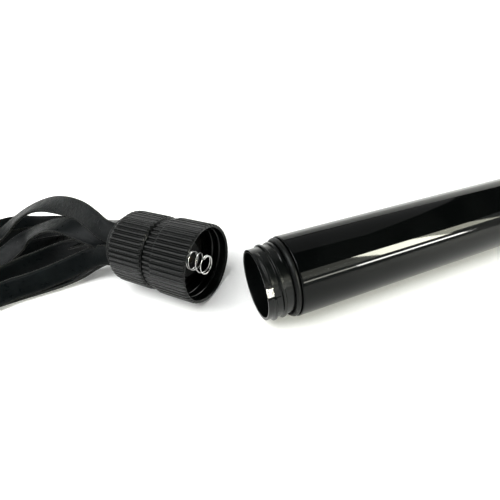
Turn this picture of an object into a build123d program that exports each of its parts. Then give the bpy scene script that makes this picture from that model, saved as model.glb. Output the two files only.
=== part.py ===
from build123d import *
import math
import os

os.makedirs("parts", exist_ok=True)

# ---------------------------------------------------------------- dimensions
# All in millimetres. X runs along the handle towards its closed end, Z is up,
# the handle, the cap and the leather strands all lie on the plane Z = 0.

# where the handle's shoulder (open end of the glossy shell) and the cap's rim are
SHOULDER_X, SHOULDER_Y = -48.43, -20.83
SHOULDER_R = 15.0              # outer radius of the shell at the shoulder
TAPER = 0.011                  # radius lost per millimetre of length
CAP_X, CAP_Y = -72.53, -2.48     # centre of the cap's open rim
CAP_TURN = 46.8                # angle between the two centre lines, in plan

# handle
SHELL_LEN = 158.0              # shoulder to the tip of the domed end
SHELL_WALL = 1.45
DOME_START = 145.0
NECK_LEN = 11.5                # the neck stands this far out of the shell
NECK_R, NECK_BORE = 12.9, 11.9
SPIGOT_R, SPIGOT_LEN = 13.0, 14.0
THREAD_PITCH, THREAD_HEIGHT = 3.4, 0.8
ORING_WIRE = 2.1
STRIP_W, STRIP_T = 3.2, 0.32   # contact strip
STRIP_ANGLE = 155.0            # around the handle's axis: 180 is the near side, 90 the top
CELL_R, CELL_LEN = 7.25, 50.5
CELL_START = -2.5              # rear face of the last cell
SLEEVE_BORE, SLEEVE_R = 7.7, 8.7
MOTOR_R, MOTOR_LEN, MOTOR_START = 10.0, 22.0, 110.0
SHAFT_R = 1.0

# cap
CAP_R, BAND_R, REAR_R = 15.8, 14.85, 15.4
RIBS = 46
RIB_DEPTH = 0.62
SKIRT_LEN = 15.9               # rim to the end of the large ribs
BAND_END = 20.2                # end of the short, lower ribs
REAR_START, CAP_LEN = 21.0, 37.6
CAP_BORE = 14.3
FLOOR_DEPTH = 13.0             # depth of the ring-shaped space that the neck fills
BOSS_R, BOSS_TOP = 7.3, 8.6
SPRING_R, SPRING_WIRE = 3.7, 0.5
SPRING_LEN = 8.2

# leather
STRAND_W, STRAND_T = 9.5, 1.2
STRAND_TUBE = 3.8              # a round tube with the same section as the flat strand

# ---------------------------------------------------------------- frames
tilt = math.asin(TAPER)
tube_dir = Vector(math.cos(tilt), 0, -math.sin(tilt))
tube_o = Vector(SHOULDER_X, SHOULDER_Y, SHOULDER_R)
P_T = Plane(origin=tube_o, x_dir=(0, 1, 0), z_dir=tube_dir)          # across the handle
P_TR = Plane(origin=tube_o, x_dir=tube_dir, z_dir=(0, -1, 0))        # along it: x = s, y = up
A_T = Axis(tube_o, tube_dir)

v = math.radians(CAP_TURN)
cap_dir = Vector(-math.cos(v), math.sin(v), 0)                       # from the rim to the rear
cap_o = Vector(CAP_X, CAP_Y, CAP_R)
P_C = Plane(origin=cap_o, x_dir=(-math.sin(v), -math.cos(v), 0), z_dir=cap_dir)
P_CR = Plane(origin=cap_o, x_dir=cap_dir, z_dir=(math.sin(v), math.cos(v), 0))
A_C = Axis(cap_o, cap_dir)


def shell_r(s):
    return SHOULDER_R - TAPER * s


def ribbed(radius):
    """Outline of a turned part with round-topped ribs along its axis."""
    steps = ((0.0, 0.0), (0.13, 0.03), (0.27, 0.17), (0.38, 0.48), (0.5, 0.62), (0.62, 0.48), (0.73, 0.17), (0.87, 0.03))
    pts = []
    for k in range(RIBS):
        for u, drop in steps:
            a = 2 * math.pi * (k + u) / RIBS
            r = radius - drop * RIB_DEPTH / 0.62
            pts.append((r * math.cos(a), r * math.sin(a)))
    return pts


# ---------------------------------------------------------------- handle
dome_r0 = shell_r(DOME_START)
with BuildPart() as tube_shell:
    with BuildSketch(P_TR):
        with BuildLine():
            Polyline((0, SPIGOT_R), (0, SHOULDER_R - 0.35), (0.35, SHOULDER_R), (DOME_START, dome_r0))
            Spline((DOME_START, dome_r0), (153.6, 9.6), (SHELL_LEN, 0), tangents=((1, -TAPER), (0, -1)))
            Polyline((SHELL_LEN, 0), (SHELL_LEN - SHELL_WALL, 0))
            Spline((SHELL_LEN - SHELL_WALL, 0), (151.9, 8.3), (DOME_START, dome_r0 - SHELL_WALL), tangents=((0, 1), (-1, TAPER)))
            Polyline((DOME_START, dome_r0 - SHELL_WALL), (SPIGOT_LEN + 0.4, shell_r(SPIGOT_LEN) - SHELL_WALL), (SPIGOT_LEN + 0.4, SPIGOT_R), (0, SPIGOT_R))
        make_face()
    revolve(axis=A_T)
tube_shell.part.label = "tube_shell"
export_step(tube_shell.part, "parts/tube_shell.step")

sa = math.radians(STRIP_ANGLE)


def strip_loc(s, r):
    """Frame on the neck at the contact strip: x across the strip, y outward."""
    p = P_T.offset(s)
    o = p.from_local_coords(Vector(r * math.cos(sa), r * math.sin(sa), 0))
    x = p.from_local_coords(Vector(-math.sin(sa), math.cos(sa), 0)) - p.origin
    return Plane(origin=o, x_dir=x, z_dir=tube_dir)


# the external thread: one rounded ridge wound round the neck
helix_o = tube_o + tube_dir * (-NECK_LEN + 1.5)
with BuildPart() as thread:
    with BuildLine() as path:
        Helix(pitch=THREAD_PITCH, height=THREAD_PITCH * 2.05, radius=NECK_R, center=helix_o, direction=tube_dir)
    with BuildSketch(Plane(origin=path.line @ 0, x_dir=tube_dir, z_dir=path.line % 0)):
        with BuildLine():
            # local x runs along the axis, local y outward
            Polyline((-0.85, -0.3), (0.85, -0.3), (0.75, 0.15), (0.35, THREAD_HEIGHT), (-0.35, THREAD_HEIGHT), (-0.75, 0.15), close=True)
        make_face()
    sweep(is_frenet=True)

with BuildPart() as neck:
    with BuildSketch(P_TR):
        with BuildLine():
            Polyline(
                (-NECK_LEN, NECK_BORE), (-NECK_LEN, NECK_R - 0.25), (-NECK_LEN + 0.25, NECK_R), (-ORING_WIRE, NECK_R),
                (-ORING_WIRE, NECK_R - 0.15), (0, NECK_R - 0.15), (0, SPIGOT_R), (SPIGOT_LEN, SPIGOT_R),
                (SPIGOT_LEN, NECK_BORE - 0.2), (CELL_START, NECK_BORE - 0.2), (CELL_START, NECK_BORE), close=True)
        make_face()
    revolve(axis=A_T)
    add(thread.part)
    # notch outside for the folded tab, step in the rim, and the strip's bed along the bore
    with BuildSketch(strip_loc(-NECK_LEN - 0.5, NECK_BORE + 0.67 + 1.0)):
        Rectangle(STRIP_W + 1.2, 2.0)
    extrude(amount=5.0, mode=Mode.SUBTRACT)
    with BuildSketch(strip_loc(-NECK_LEN - 0.5, NECK_BORE + 0.5)):
        Rectangle(STRIP_W + 0.4, 3.0)
    extrude(amount=0.88, mode=Mode.SUBTRACT)
    with BuildSketch(strip_loc(-NECK_LEN - 0.5, NECK_BORE - 0.15)):
        Rectangle(STRIP_W + 0.4, 1.04)
    extrude(amount=NECK_LEN + SPIGOT_LEN + 1.0, mode=Mode.SUBTRACT)
neck.part.label = "neck"
export_step(neck.part, "parts/neck.step")

# rubber seal against the shoulder
with BuildPart() as o_ring:
    with BuildSketch(P_TR):
        with Locations((-ORING_WIRE / 2 - 0.02, NECK_R - 0.15 + 0.94)):
            Ellipse(ORING_WIRE / 2 - 0.03, 0.94)
    revolve(axis=A_T)
o_ring.part.label = "o_ring"
export_step(o_ring.part, "parts/o_ring.step")

# nickel strip: one leg along the bore, a fold over the rim and a tab in the notch
with BuildPart() as contact_strip:
    with BuildSketch(strip_loc(-NECK_LEN, NECK_BORE + 0.03 + STRIP_T / 2)):
        Rectangle(STRIP_W, STRIP_T)
    extrude(amount=NECK_LEN + 104.0)
    with BuildSketch(strip_loc(-NECK_LEN, NECK_BORE + 0.03 + 0.5)):
        Rectangle(STRIP_W, 1.0)
    extrude(amount=0.34)
    with BuildSketch(strip_loc(-NECK_LEN, NECK_BORE + 1.03 - STRIP_T / 2)):
        Rectangle(STRIP_W, STRIP_T)
    extrude(amount=2.9)
contact_strip.part.label = "contact_strip"
export_step(contact_strip.part, "parts/contact_strip.step")

# plastic tube with three fins that keeps the cells in the middle
with BuildPart() as battery_sleeve:
    with BuildSketch(P_T.offset(1.0)):
        Circle(SLEEVE_R)
        for a in (95, 215, 335):
            with Locations(Location((10.0 * math.cos(math.radians(a)), 10.0 * math.sin(math.radians(a)), 0), (0, 0, a))):
                Rectangle(3.2, 1.2)
        Circle(SLEEVE_BORE, mode=Mode.SUBTRACT)
    extrude(amount=97.5)
battery_sleeve.part.label = "battery_sleeve"
export_step(battery_sleeve.part, "parts/battery_sleeve.step")

# two round cells in line, the button ends towards the motor
with BuildPart() as battery_rear:
    with BuildSketch(P_TR):
        with BuildLine():
            s0 = CELL_START
            Polyline((s0, 0), (s0, 5.2), (s0 + 0.3, 5.4), (s0 + 0.3, 6.8), (s0, 7.0), (s0 + 0.4, CELL_R), (s0 + 48.9, CELL_R),
                     (s0 + 49.3, 6.9), (s0 + 49.3, 2.75), (s0 + CELL_LEN - 0.15, 2.75), (s0 + CELL_LEN, 2.5), (s0 + CELL_LEN, 0), close=True)
        make_face()
    revolve(axis=A_T)
battery_rear.part.label = "battery_rear"
export_step(battery_rear.part, "parts/battery_rear.step")

with BuildPart() as battery_front:
    with BuildSketch(P_TR):
        with BuildLine():
            s0 = CELL_START + CELL_LEN + 0.02
            Polyline((s0, 0), (s0, 5.2), (s0 + 0.3, 5.4), (s0 + 0.3, 6.8), (s0, 7.0), (s0 + 0.4, CELL_R), (s0 + 48.9, CELL_R),
                     (s0 + 49.3, 6.9), (s0 + 49.3, 2.75), (s0 + CELL_LEN - 0.15, 2.75), (s0 + CELL_LEN, 2.5), (s0 + CELL_LEN, 0), close=True)
        make_face()
    revolve(axis=A_T)
battery_front.part.label = "battery_front"
export_step(battery_front.part, "parts/battery_front.step")

# plate that the first cell's button touches, riveted to the bulkhead
front_end = CELL_START + 2 * CELL_LEN + 0.05
with BuildPart() as front_contact:
    with BuildSketch(P_T.offset(front_end)):
        Circle(5.0)
    extrude(amount=0.4)
    with BuildSketch(P_T.offset(front_end + 0.4)):
        Circle(1.2)
    extrude(amount=3.6)
front_contact.part.label = "front_contact"
export_step(front_contact.part, "parts/front_contact.step")

with BuildPart() as bulkhead:
    with BuildSketch(P_T.offset(front_end + 0.4)):
        Circle(12.1)
        Circle(1.22, mode=Mode.SUBTRACT)
        with Locations(Location((12.4 * math.cos(sa), 12.4 * math.sin(sa), 0), (0, 0, STRIP_ANGLE))):
            Rectangle(2.4, STRIP_W + 0.6, mode=Mode.SUBTRACT)
    extrude(amount=3.0)
bulkhead.part.label = "bulkhead"
export_step(bulkhead.part, "parts/bulkhead.step")

# small direct-current motor, its cradle, and the weighted rotor
with BuildPart() as motor_can:
    with BuildSketch(P_TR):
        with BuildLine():
            m0, m1 = MOTOR_START, MOTOR_START + MOTOR_LEN
            Polyline((m0, 0), (m0, MOTOR_R - 0.6), (m0 + 0.6, MOTOR_R), (m1 - 0.8, MOTOR_R), (m1, MOTOR_R - 0.8), (m1, 3.0),
                     (m1 + 1.5, 3.0), (m1 + 1.5, SHAFT_R + 0.05), (m0 + 9.0, SHAFT_R + 0.05), (m0 + 9.0, 0), close=True)
        make_face()
    revolve(axis=A_T)
motor_can.part.label = "motor_can"
export_step(motor_can.part, "parts/motor_can.step")

with BuildPart() as motor_cradle:
    with BuildSketch(P_T.offset(MOTOR_START + 2.0)):
        Circle(11.85)
        Circle(MOTOR_R + 0.02, mode=Mode.SUBTRACT)
    extrude(amount=16.0)
motor_cradle.part.label = "motor_cradle"
export_step(motor_cradle.part, "parts/motor_cradle.step")

with BuildPart() as motor_shaft:
    with BuildSketch(P_T.offset(MOTOR_START + 9.2)):
        Circle(SHAFT_R)
    extrude(amount=26.8)
motor_shaft.part.label = "motor_shaft"
export_step(motor_shaft.part, "parts/motor_shaft.step")

with BuildPart() as eccentric_weight:
    with BuildSketch(P_T.offset(136.5)):
        Circle(7.5)
        with Locations((0, 6.0)):
            Rectangle(16, 12.0, mode=Mode.SUBTRACT)
        Circle(2.4)
        Circle(SHAFT_R, mode=Mode.SUBTRACT)
    extrude(amount=8.0)
eccentric_weight.part.label = "eccentric_weight"
export_step(eccentric_weight.part, "parts/eccentric_weight.step")


def lead(points, radii):
    """Insulated lead, 1.2 across, from points (across, up, along) in the handle's frame."""
    pts = [P_T.from_local_coords(Vector(*p)) for p in points]
    with BuildPart() as wire:
        with BuildLine() as route:
            FilletPolyline(*pts, radius=radii)
        with BuildSketch(Plane(origin=route.line @ 0, z_dir=route.line % 0)):
            Circle(0.6)
        sweep()
    return wire.part


z0 = front_end + 4.02
lead_positive = lead([(0, 0.0, z0 + 0.03), (0, 0.0, z0 + 1.8), (2.6, 3.4, z0 + 4.0), (2.7, 3.6, MOTOR_START - 0.1)], [1.2, 1.2])
lead_positive.label = "lead_positive"
export_step(lead_positive, "parts/lead_positive.step")
rx, ry = 11.2 * math.cos(sa), 11.2 * math.sin(sa)
lead_negative = lead([(rx, ry, 102.8), (rx, ry, 105.0), (-5.0, -2.4, 108.0), (-4.8, -2.5, MOTOR_START - 0.1)], [1.2, 0.9])
lead_negative.label = "lead_negative"
export_step(lead_negative, "parts/lead_negative.step")

# ---------------------------------------------------------------- cap, front part
with BuildPart() as cap_thread:
    with BuildLine() as cap_path:
        Helix(pitch=THREAD_PITCH, height=THREAD_PITCH * 2.0, radius=CAP_BORE, center=cap_o + cap_dir * 3.2, direction=cap_dir)
    with BuildSketch(Plane(origin=cap_path.line @ 0, x_dir=cap_dir, z_dir=cap_path.line % 0)):
        with BuildLine():
            Polyline((-0.8, 0.3), (-0.6, -0.15), (-0.3, -0.45), (0.3, -0.45), (0.6, -0.15), (0.8, 0.3), close=True)
        make_face()
    sweep(is_frenet=True)

with BuildPart() as cap_skirt:
    with BuildSketch(P_C):
        with BuildLine():
            Polyline(*ribbed(CAP_R), close=True)
        make_face()
    extrude(amount=SKIRT_LEN)
    with BuildSketch(P_C.offset(SKIRT_LEN)):
        with BuildLine():
            Polyline(*ribbed(BAND_R), close=True)
        make_face()
    extrude(amount=BAND_END - SKIRT_LEN)
    # rounded-off ends of the ribs
    with BuildSketch(P_CR):
        with BuildLine():
            Polyline((0, 0), (0, CAP_R - 0.75), (0.2, CAP_R - 0.35), (0.7, CAP_R - 0.05), (1.4, CAP_R + 0.1), (SKIRT_LEN - 0.9, CAP_R + 0.1),
                     (SKIRT_LEN - 0.3, CAP_R - 0.2), (SKIRT_LEN, CAP_R - 0.7), (SKIRT_LEN, BAND_R + 0.1), (BAND_END - 0.6, BAND_R + 0.1),
                     (BAND_END, BAND_R - 0.5), (BAND_END, 0), close=True)
        make_face()
    revolve(axis=A_C, mode=Mode.INTERSECT)
    # the ring-shaped space for the neck, round the boss that carries the spring
    with BuildSketch(P_CR):
        with BuildLine():
            Polyline((-1, 0), (-1, CAP_BORE + 0.5), (0, CAP_BORE + 0.45), (0.5, CAP_BORE), (FLOOR_DEPTH, CAP_BORE), (FLOOR_DEPTH, BOSS_R),
                     (BOSS_TOP + 0.3, BOSS_R), (BOSS_TOP, BOSS_R - 0.3), (BOSS_TOP, 0.8), (BOSS_TOP + 3.6, 0.8), (BOSS_TOP + 3.6, 0), close=True)
        make_face()
    revolve(axis=A_C, mode=Mode.SUBTRACT)
    # lightening ring behind the floor
    with BuildSketch(P_CR):
        with BuildLine():
            Polyline((FLOOR_DEPTH + 2.4, 7.6), (FLOOR_DEPTH + 2.4, 12.8), (BAND_END + 1, 12.8), (BAND_END + 1, 7.6), close=True)
        make_face()
    revolve(axis=A_C, mode=Mode.SUBTRACT)
    add(cap_thread.part)
    # pivot that the rear part turns on
    with BuildSketch(P_C.offset(BAND_END - 0.5)):
        Circle(6.0)
    extrude(amount=25.6 - BAND_END + 0.5)
    with BuildSketch(P_C.offset(18.9)):
        Circle(1.5)
    extrude(amount=8, mode=Mode.SUBTRACT)
cap_skirt.part.label = "cap_skirt"
export_step(cap_skirt.part, "parts/cap_skirt.step")

# smooth bearing washer that shows as a thin lip in the groove
with BuildPart() as swivel_washer:
    with BuildSketch(P_C.offset(BAND_END + 0.05)):
        Circle(15.0)
        Circle(6.3, mode=Mode.SUBTRACT)
    extrude(amount=0.62)
    chamfer(swivel_washer.faces().sort_by(A_C)[0].outer_wire().edges(), 0.2)
swivel_washer.part.label = "swivel_washer"
export_step(swivel_washer.part, "parts/swivel_washer.step")

with BuildPart() as contact_disc:
    with BuildSketch(P_C.offset(BOSS_TOP - 0.35)):
        Circle(6.5)
        Circle(0.82, mode=Mode.SUBTRACT)
    extrude(amount=0.34)
contact_disc.part.label = "contact_disc"
export_step(contact_disc.part, "parts/contact_disc.step")

with BuildPart() as contact_rivet:
    with BuildSketch(P_CR):
        with BuildLine():
            Polyline((BOSS_TOP - 0.95, 0), (BOSS_TOP - 0.9, 0.8), (BOSS_TOP - 0.6, 1.4), (BOSS_TOP - 0.36, 1.5), (BOSS_TOP - 0.36, 0.78),
                     (BOSS_TOP + 3.5, 0.78), (BOSS_TOP + 3.5, 0), close=True)
        make_face()
    revolve(axis=A_C)
contact_rivet.part.label = "contact_rivet"
export_step(contact_rivet.part, "parts/contact_rivet.step")

# flat ring that the neck's tab presses on, with a leg up the boss to the disc
with BuildPart() as cap_contact_ring:
    with BuildSketch(P_C.offset(FLOOR_DEPTH - 0.36)):
        Circle(13.7)
        Circle(11.2, mode=Mode.SUBTRACT)
        with Locations((0, 9.4)):
            Rectangle(3.0, 4.2)
    extrude(amount=0.35)
    with BuildSketch(P_C.offset(BOSS_TOP - 0.35)):
        with Locations((0, 7.5)):
            Rectangle(3.0, 0.32)
    extrude(amount=FLOOR_DEPTH - BOSS_TOP + 0.3)
    with BuildSketch(P_C.offset(BOSS_TOP - 0.35)):
        with Locations((0, 7.13)):
            Rectangle(3.0, 1.06)
    extrude(amount=0.34)
cap_contact_ring.part.label = "cap_contact_ring"
export_step(cap_contact_ring.part, "parts/cap_contact_ring.step")

spring_o = cap_o + cap_dir * (BOSS_TOP - 0.36 - SPRING_WIRE / 2)
with BuildPart() as battery_spring:
    with BuildLine() as coil:
        Helix(pitch=SPRING_LEN / 4.25, height=SPRING_LEN - SPRING_WIRE, radius=SPRING_R, center=spring_o, direction=-cap_dir)
    with BuildSketch(Plane(origin=coil.line @ 0, z_dir=coil.line % 0)):
        Circle(SPRING_WIRE / 2)
    sweep(is_frenet=True)
battery_spring.part.label = "battery_spring"
export_step(battery_spring.part, "parts/battery_spring.step")

# ---------------------------------------------------------------- cap, rear part
with BuildPart() as cap_rear:
    with BuildSketch(P_C.offset(REAR_START)):
        with BuildLine():
            Polyline(*ribbed(REAR_R), close=True)
        make_face()
    extrude(amount=CAP_LEN - REAR_START)
    with BuildSketch(P_CR):
        with BuildLine():
            Polyline((REAR_START, 0), (REAR_START, REAR_R - 0.55), (REAR_START + 0.6, REAR_R), (REAR_START + 1.2, REAR_R + 0.05),
                     (CAP_LEN - 1.4, REAR_R - 0.05), (CAP_LEN - 0.5, REAR_R - 0.45), (CAP_LEN, REAR_R - 1.1), (CAP_LEN, 0), close=True)
        make_face()
    revolve(axis=A_C, mode=Mode.INTERSECT)
    with BuildSketch(P_CR):
        with BuildLine():
            Polyline((REAR_START - 1, 0), (REAR_START - 1, 6.05), (25.5, 6.05), (25.5, 13.0), (35.0, 13.0), (35.0, 10.6), (CAP_LEN + 1, 10.6), (CAP_LEN + 1, 0), close=True)
        make_face()
    revolve(axis=A_C, mode=Mode.SUBTRACT)
cap_rear.part.label = "cap_rear"
export_step(cap_rear.part, "parts/cap_rear.step")

with BuildPart() as pivot_washer:
    with BuildSketch(P_C.offset(25.62)):
        Circle(8.5)
        Circle(1.6, mode=Mode.SUBTRACT)
    extrude(amount=0.8)
pivot_washer.part.label = "pivot_washer"
export_step(pivot_washer.part, "parts/pivot_washer.step")

with BuildPart() as pivot_screw:
    with BuildSketch(P_CR):
        with BuildLine():
            Polyline((19.2, 0), (19.4, 1.48), (26.43, 1.48), (26.43, 3.2), (27.9, 2.9), (28.4, 1.8), (28.4, 0), close=True)
        make_face()
    revolve(axis=A_C)
    with BuildSketch(P_C.offset(27.6)):
        Rectangle(3.2, 0.7)
        Rectangle(0.7, 3.2)
    extrude(amount=2, mode=Mode.SUBTRACT)
pivot_screw.part.label = "pivot_screw"
export_step(pivot_screw.part, "parts/pivot_screw.step")

# block that the strands are glued into, and the woven binding round their roots
PLUG_END = 41.0
with BuildPart() as strap_plug:
    with BuildSketch(P_C.offset(32.0)):
        Circle(10.5)
    extrude(amount=PLUG_END - 32.0)
strap_plug.part.label = "strap_plug"
export_step(strap_plug.part, "parts/strap_plug.step")

with BuildPart() as strap_binding:
    with BuildSketch(P_CR):
        with BuildLine():
            Polyline((CAP_LEN + 0.02, 10.55), (CAP_LEN + 0.02, 12.3), (CAP_LEN + 0.5, 12.7), (PLUG_END - 0.5, 12.7), (PLUG_END, 12.3), (PLUG_END, 10.55), close=True)
        make_face()
    revolve(axis=A_C)
strap_binding.part.label = "strap_binding"
export_step(strap_binding.part, "parts/strap_binding.step")

# ---------------------------------------------------------------- leather strands
# Centre lines in the row's frame. Each is a flat strand of one cut length.
STRANDS = {
    "strand_top": [(-103.42, 24.79, 23.04), (-108.89, 30.62, 23.04), (-112.19, 36.65, 26.0), (-117.53, 47.38, 27.0), (-125.95, 59.89, 26.0), (-135.71, 72.2, 23.5), (-145.44, 78.86, 20.0), (-154.51, 79.3, 15.5), (-163.06, 75.49, 10.5), (-179.0, 65.0, 6.4), (-199.0, 60.0, 6.0), (-222.0, 62.5, 6.0), (-240.16, 59.09, 6.0)],
    "strand_near": [(-106.46, 21.93, 14.1), (-111.93, 27.76, 14.1), (-118.79, 33.61, 10.0), (-127.55, 33.56, 8.0), (-136.73, 32.64, 6.6), (-144.92, 31.5, 6.0), (-153.47, 31.48, 6.2), (-172.0, 24.0, 6.0), (-192.0, 19.0, 6.0), (-216.0, 21.0, 6.0), (-243.0, 19.0, 6.0), (-270.4, 13.04, 6.0)],
    "strand_arch": [(-103.05, 25.13, 16.39), (-108.53, 30.96, 16.39), (-117.14, 37.13, 20.0), (-124.74, 45.79, 21.0), (-132.94, 53.17, 19.0), (-141.01, 57.16, 15.2), (-148.06, 58.48, 11.4), (-154.91, 55.38, 8.6), (-166.0, 50.0, 7.0), (-186.0, 45.0, 6.0), (-211.0, 46.5, 6.0), (-236.0, 43.0, 6.0), (-257.67, 43.9, 6.0)],
    "strand_back": [(-97.8, 30.06, 23.04), (-103.28, 35.89, 23.04), (-110.09, 44.25, 20.5), (-121.94, 59.11, 15.5), (-134.31, 75.51, 10.5), (-146.64, 85.78, 7.2), (-157.67, 90.37, 6.6), (-170.0, 87.0, 6.0), (-190.0, 81.0, 6.0), (-212.0, 82.0, 6.0), (-240.26, 75.58, 6.0)],
    "strand_far": [(-94.69, 32.98, 16.94), (-100.17, 38.81, 16.94), (-109.95, 48.78, 13.5), (-123.19, 59.9, 9.3), (-135.41, 71.61, 6.8), (-147.16, 77.48, 6.0), (-158.19, 79.44, 6.0), (-177.0, 74.0, 6.0), (-198.0, 70.0, 6.0), (-222.0, 72.5, 6.0), (-247.49, 67.51, 6.0)],
    "strand_middle": [(-98.92, 29.01, 18.56), (-104.4, 34.84, 18.56), (-113.48, 39.45, 15.6), (-122.68, 46.08, 12.2), (-132.46, 55.29, 9.0), (-143.94, 60.81, 6.8), (-153.46, 61.84, 6.2), (-169.0, 58.5, 6.0), (-189.0, 53.5, 6.0), (-212.0, 56.0, 6.0), (-236.0, 51.5, 6.0), (-258.0, 53.0, 6.0)],
    "strand_inner": [(-99.66, 28.31, 12.23), (-105.14, 34.14, 12.23), (-115.6, 37.15, 10.5), (-124.06, 43.45, 8.0), (-132.99, 49.0, 6.4), (-142.17, 50.22, 6.0), (-150.63, 48.48, 6.0), (-167.0, 41.0, 6.0), (-187.0, 36.0, 6.0), (-212.0, 38.0, 6.0), (-238.0, 34.0, 6.0), (-262.49, 35.53, 6.0)],
    "strand_under": [(-103.42, 24.79, 8.56), (-108.89, 30.62, 8.56), (-119.49, 37.28, 5.4), (-127.61, 38.28, 4.9), (-136.28, 38.91, 4.9), (-153.0, 38.5, 4.9), (-170.0, 32.5, 4.9), (-190.0, 28.0, 4.9), (-214.0, 29.5, 4.9), (-239.0, 26.0, 4.9), (-269.2, 28.63, 4.9)],
}


def strand(points):
    """Plain round tube along straight runs joined by the largest tangent arcs; returns it with its length and radii."""
    pts = [Vector(*p) for p in points]
    radii = []
    for a, b, c in zip(pts, pts[1:], pts[2:]):
        turn = math.radians((b - a).get_angle(c - b))
        radii.append(0.45 * min((b - a).length, (c - b).length) / math.tan(turn / 2))
    with BuildPart() as tube:
        with BuildLine() as route:
            FilletPolyline(*pts, radius=radii)
        with BuildSketch(Plane(origin=route.line @ 0, z_dir=route.line % 0)):
            Circle(STRAND_TUBE / 2)
        sweep()
    return tube.part, route.wire().length, radii


for name, points in STRANDS.items():
    solid, length, radii = strand(points)
    solid.label = name
    export_step(solid, f"parts/{name}.step")
    section = math.pi * (STRAND_TUBE / 2) ** 2
    print(f"{name}: length {length:.1f}, volume {solid.volume:.0f} of {section * length:.0f}, smallest radius {min(radii):.1f}")
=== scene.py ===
import math

import bpy
import numpy as np
from mathutils import Matrix, Vector


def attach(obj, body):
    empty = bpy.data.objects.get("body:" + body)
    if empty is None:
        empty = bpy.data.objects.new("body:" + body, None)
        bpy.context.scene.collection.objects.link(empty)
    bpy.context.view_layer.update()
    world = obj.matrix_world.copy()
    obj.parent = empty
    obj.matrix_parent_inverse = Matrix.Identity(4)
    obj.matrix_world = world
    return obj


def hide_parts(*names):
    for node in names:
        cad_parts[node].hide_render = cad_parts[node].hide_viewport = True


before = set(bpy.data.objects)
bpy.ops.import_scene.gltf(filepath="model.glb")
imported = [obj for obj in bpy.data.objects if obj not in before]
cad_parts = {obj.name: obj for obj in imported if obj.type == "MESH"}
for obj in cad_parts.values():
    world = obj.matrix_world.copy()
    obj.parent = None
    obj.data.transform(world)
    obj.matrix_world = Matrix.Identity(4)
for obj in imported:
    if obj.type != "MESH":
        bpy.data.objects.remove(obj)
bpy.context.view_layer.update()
MM = 0.001

# ------------------------------------------------------------------ frames of the handle and the cap
TILT = math.asin(0.011)
T_O = np.array([-48.43, -20.83, 15.0])
T_D = np.array([math.cos(TILT), 0.0, -math.sin(TILT)])
T_X = np.array([0.0, 1.0, 0.0])
T_Y = np.array([math.sin(TILT), 0.0, math.cos(TILT)])
TURN = math.radians(46.8)
C_O = np.array([-72.53, -2.48, 15.8])
C_D = np.array([-math.cos(TURN), math.sin(TURN), 0.0])
C_X = np.array([-math.sin(TURN), -math.cos(TURN), 0.0])
C_Y = np.array([0.0, 0.0, 1.0])


def handle_at(s, r, a):
    """Points in metres from millimetres along the handle, radius and angle (radians, 90 degrees is the top)."""
    s, r, a = np.broadcast_arrays(np.asarray(s, float), np.asarray(r, float), np.asarray(a, float))
    return (T_O + s[..., None] * T_D + (r * np.cos(a))[..., None] * T_X + (r * np.sin(a))[..., None] * T_Y) * MM


def cap_at(p, r, a):
    p, r, a = np.broadcast_arrays(np.asarray(p, float), np.asarray(r, float), np.asarray(a, float))
    return (C_O + p[..., None] * C_D + (r * np.cos(a))[..., None] * C_X + (r * np.sin(a))[..., None] * C_Y) * MM


# ------------------------------------------------------------------ mesh helpers
def mesh_object(name, verts, faces, smooth=True):
    me = bpy.data.meshes.new(name)
    me.from_pydata([tuple(v) for v in verts], [], [tuple(int(i) for i in f) for f in faces])
    me.validate()
    me.update()
    me.polygons.foreach_set("use_smooth", [smooth] * len(me.polygons))
    ob = bpy.data.objects.new(name, me)
    bpy.context.scene.collection.objects.link(ob)
    return ob


def outward(ob):
    """Makes all faces of a closed mesh point out."""
    me = ob.data
    v = np.empty(len(me.vertices) * 3)
    me.vertices.foreach_get("co", v)
    v = v.reshape(-1, 3)
    me.calc_loop_triangles()
    t = np.empty(len(me.loop_triangles) * 3, int)
    me.loop_triangles.foreach_get("vertices", t)
    t = t.reshape(-1, 3)
    vol = np.einsum("ij,ij->i", v[t[:, 0]], np.cross(v[t[:, 1]], v[t[:, 2]])).sum()
    if vol < 0:
        me.flip_normals()
    me.update()
    return ob


def revolve(name, place, along, radius, n=256, angles=None, loop=True):
    """A turned closed body. along and radius are profile points; radius may be a grid (point, angle).
    The profile is a closed loop, or with loop=False starts and ends on the axis."""
    if angles is None:
        angles = np.arange(n) * 2 * math.pi / n
    n = len(angles)
    along = np.asarray(along, float)
    radius = np.asarray(radius, float)
    if along.ndim == 1:
        along = np.repeat(along[:, None], n, 1)
    if radius.ndim == 1:
        radius = np.repeat(radius[:, None], n, 1)
    m = len(along)
    grid = place(along, radius, np.broadcast_to(angles, (m, n)))
    faces = []
    if loop:
        verts = grid.reshape(-1, 3)
        for i in range(m):
            k = (i + 1) % m
            for j in range(n):
                l = (j + 1) % n
                faces.append((i * n + j, i * n + l, k * n + l, k * n + j))
    else:
        verts = np.concatenate([grid[1:-1].reshape(-1, 3), grid[0, :1], grid[-1, :1]])
        a, b = (m - 2) * n, (m - 2) * n + 1
        for i in range(m - 3):
            for j in range(n):
                l = (j + 1) % n
                faces.append((i * n + j, i * n + l, (i + 1) * n + l, (i + 1) * n + j))
        e = (m - 3) * n
        for j in range(n):
            l = (j + 1) % n
            faces.append((a, l, j))
            faces.append((b, e + j, e + l))
    return outward(mesh_object(name, verts, faces))


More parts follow.
